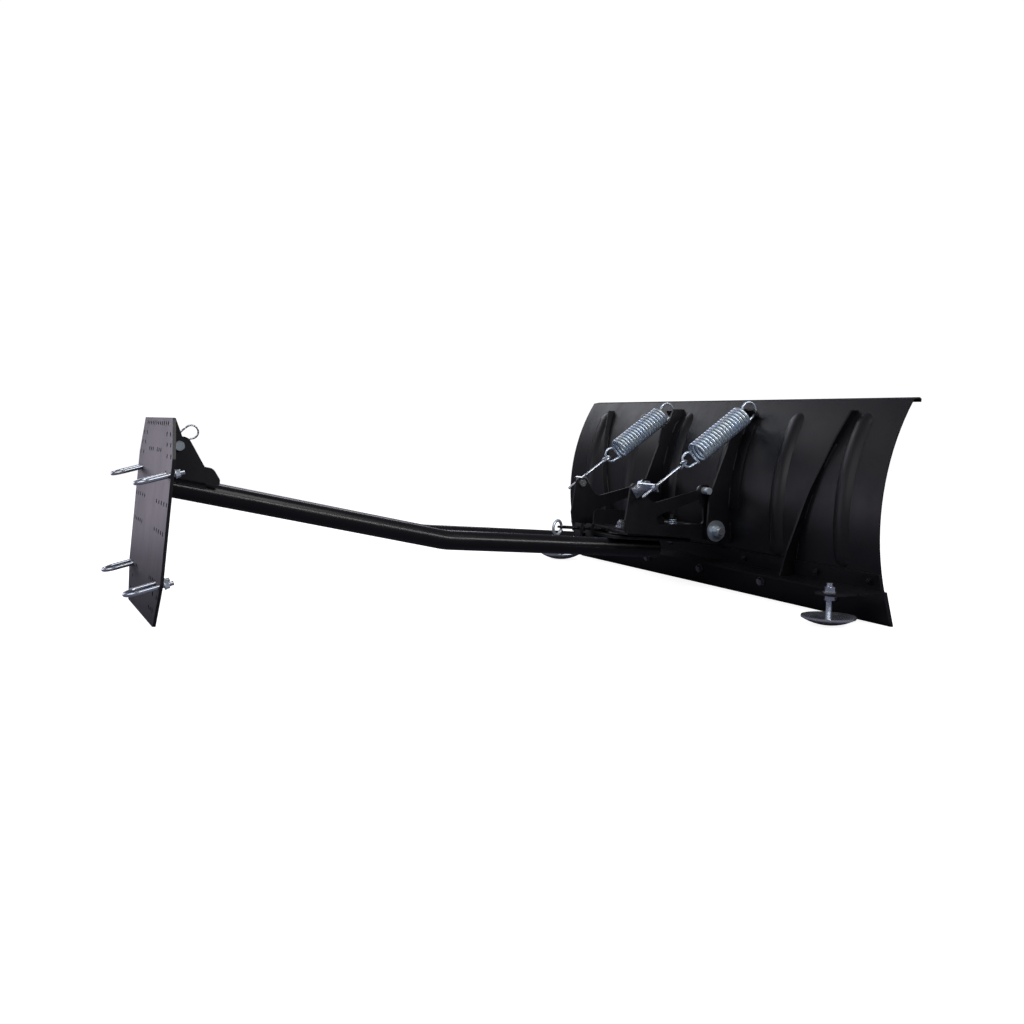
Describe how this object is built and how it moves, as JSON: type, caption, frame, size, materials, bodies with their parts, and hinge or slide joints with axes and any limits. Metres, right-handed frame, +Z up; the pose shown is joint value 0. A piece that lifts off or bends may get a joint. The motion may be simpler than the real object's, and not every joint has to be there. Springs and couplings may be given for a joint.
{
  "type": "ATV plow blade",
  "caption": "Curved snow plow blade with sprung trip hinge, angling swivel, tubular push frame, round skids and a drilled under-frame mount plate.",
  "frame": {"origin": "middle of the wear bar's lower edge, on the ground", "axes": "+X forward, the way the blade pushes; +Y to the driver's left, along the blade; +Z up"},
  "size_m": [1.4779, 1.27, 0.4655],
  "materials": {
    "black_coat": "satin black powder coat",
    "zinc_plate": "bright zinc plating",
    "spring_wire": "plated spring wire",
    "bare_steel": "oiled bare steel",
    "end_plug": "matt black plastic"
  },
  "bodies": {
    "mount": {"mount_plate": "black_coat", "mount_ear_left": "black_coat", "mount_ear_right": "black_coat", "u_bolts_upper": "zinc_plate", "u_bolts_lower": "zinc_plate", "u_bolt_nuts": "zinc_plate"},
    "hitch_pin": {"hitch_pin": "zinc_plate"},
    "r_clip": {"r_clip": "zinc_plate"},
    "push_frame": {"push_tube_left": "black_coat", "push_tube_right": "black_coat", "tube_plugs": "end_plug", "hinge_tangs": "black_coat", "hinge_sleeve": "black_coat", "cross_members": "black_coat", "fan_plate": "black_coat", "lock_housing": "black_coat", "wear_washer": "bare_steel", "kingpin": "zinc_plate", "kingpin_nut": "zinc_plate"},
    "lock_pin": {"lock_pin": "zinc_plate", "lock_spring": "spring_wire"},
    "pull_ring": {"pull_ring": "zinc_plate"},
    "swivel": {"swivel_base": "black_coat", "inner_channel": "black_coat", "side_plate_left": "black_coat", "side_plate_right": "black_coat", "trip_sleeve": "bare_steel", "trip_bolt_left": "zinc_plate", "trip_bolt_right": "zinc_plate", "trip_nuts": "zinc_plate", "trip_bushes": "bare_steel", "stop_bolts": "zinc_plate", "guide_bolt": "zinc_plate", "guide_nut": "zinc_plate", "guide_spring": "spring_wire", "spring_bracket_left": "zinc_plate", "spring_bracket_right": "zinc_plate", "bracket_bolts": "zinc_plate", "eyebolt_left": "zinc_plate", "eyebolt_right": "zinc_plate", "eyebolt_nuts": "zinc_plate"},
    "blade": {"moldboard": "black_coat", "wear_bar": "black_coat", "wear_bar_bolts": "zinc_plate", "wear_bar_nuts": "zinc_plate", "shelf_angle": "black_coat", "shelf_bolts": "zinc_plate", "skid_tabs": "black_coat", "skid_nuts_left": "zinc_plate", "skid_nuts_right": "zinc_plate", "brace_left": "black_coat", "brace_right": "black_coat", "trip_lug_left": "black_coat", "trip_lug_right": "black_coat", "trip_spring_left": "spring_wire", "trip_spring_right": "spring_wire", "lug_flanges": "black_coat"},
    "skid_left": {"skid_left": "zinc_plate"},
    "skid_right": {"skid_right": "zinc_plate"}
  },
  "joints": [
    {"name": "lift", "type": "hinge", "parent": "mount", "child": "push_frame", "pos_m": [-1.314, 0, 0.335], "axis": [0, -1, 0], "range_deg": [0, 95]},
    {"name": "hitch_pin_turn", "type": "hinge", "parent": "mount", "child": "hitch_pin", "pos_m": [-1.314, 0, 0.335], "axis": [0, 1, 0], "range_deg": [-25, 40]},
    {"name": "clip_pull", "type": "slide", "parent": "hitch_pin", "child": "r_clip", "axis": [0.9848, 0, 0.1736], "range_m": [0, 0.03]},
    {"name": "lock_slide", "type": "slide", "parent": "push_frame", "child": "lock_pin", "axis": [0.9981, 0, -0.061], "range_m": [0, 0.012], "deforming": ["lock_spring"]},
    {"name": "ring_swing", "type": "hinge", "parent": "lock_pin", "child": "pull_ring", "pos_m": [-0.42182, 0, 0.1531], "axis": [0.061, 0, 0.9981], "range_deg": [-35, 35]},
    {"name": "swivel_turn", "type": "hinge", "parent": "push_frame", "child": "swivel", "pos_m": [-0.261, 0, 0.1076], "axis": [0.061, 0, 0.9981], "range_deg": [-30, 30]},
    {"name": "blade_trip", "type": "hinge", "parent": "swivel", "child": "blade", "pos_m": [-0.087, 0, 0.151], "axis": [0, 1, 0], "range_deg": [0, 30], "stiffness_Nm_per_rad": 60, "springref_deg": -28.65, "deforming": ["trip_spring_left", "trip_spring_right"]},
    {"name": "skid_height_left", "type": "slide", "parent": "blade", "child": "skid_left", "axis": [0, 0, 1], "range_m": [-0.008, 0.03]},
    {"name": "skid_height_right", "type": "slide", "parent": "blade", "child": "skid_right", "axis": [0, 0, 1], "range_m": [-0.008, 0.03]}
  ]
}
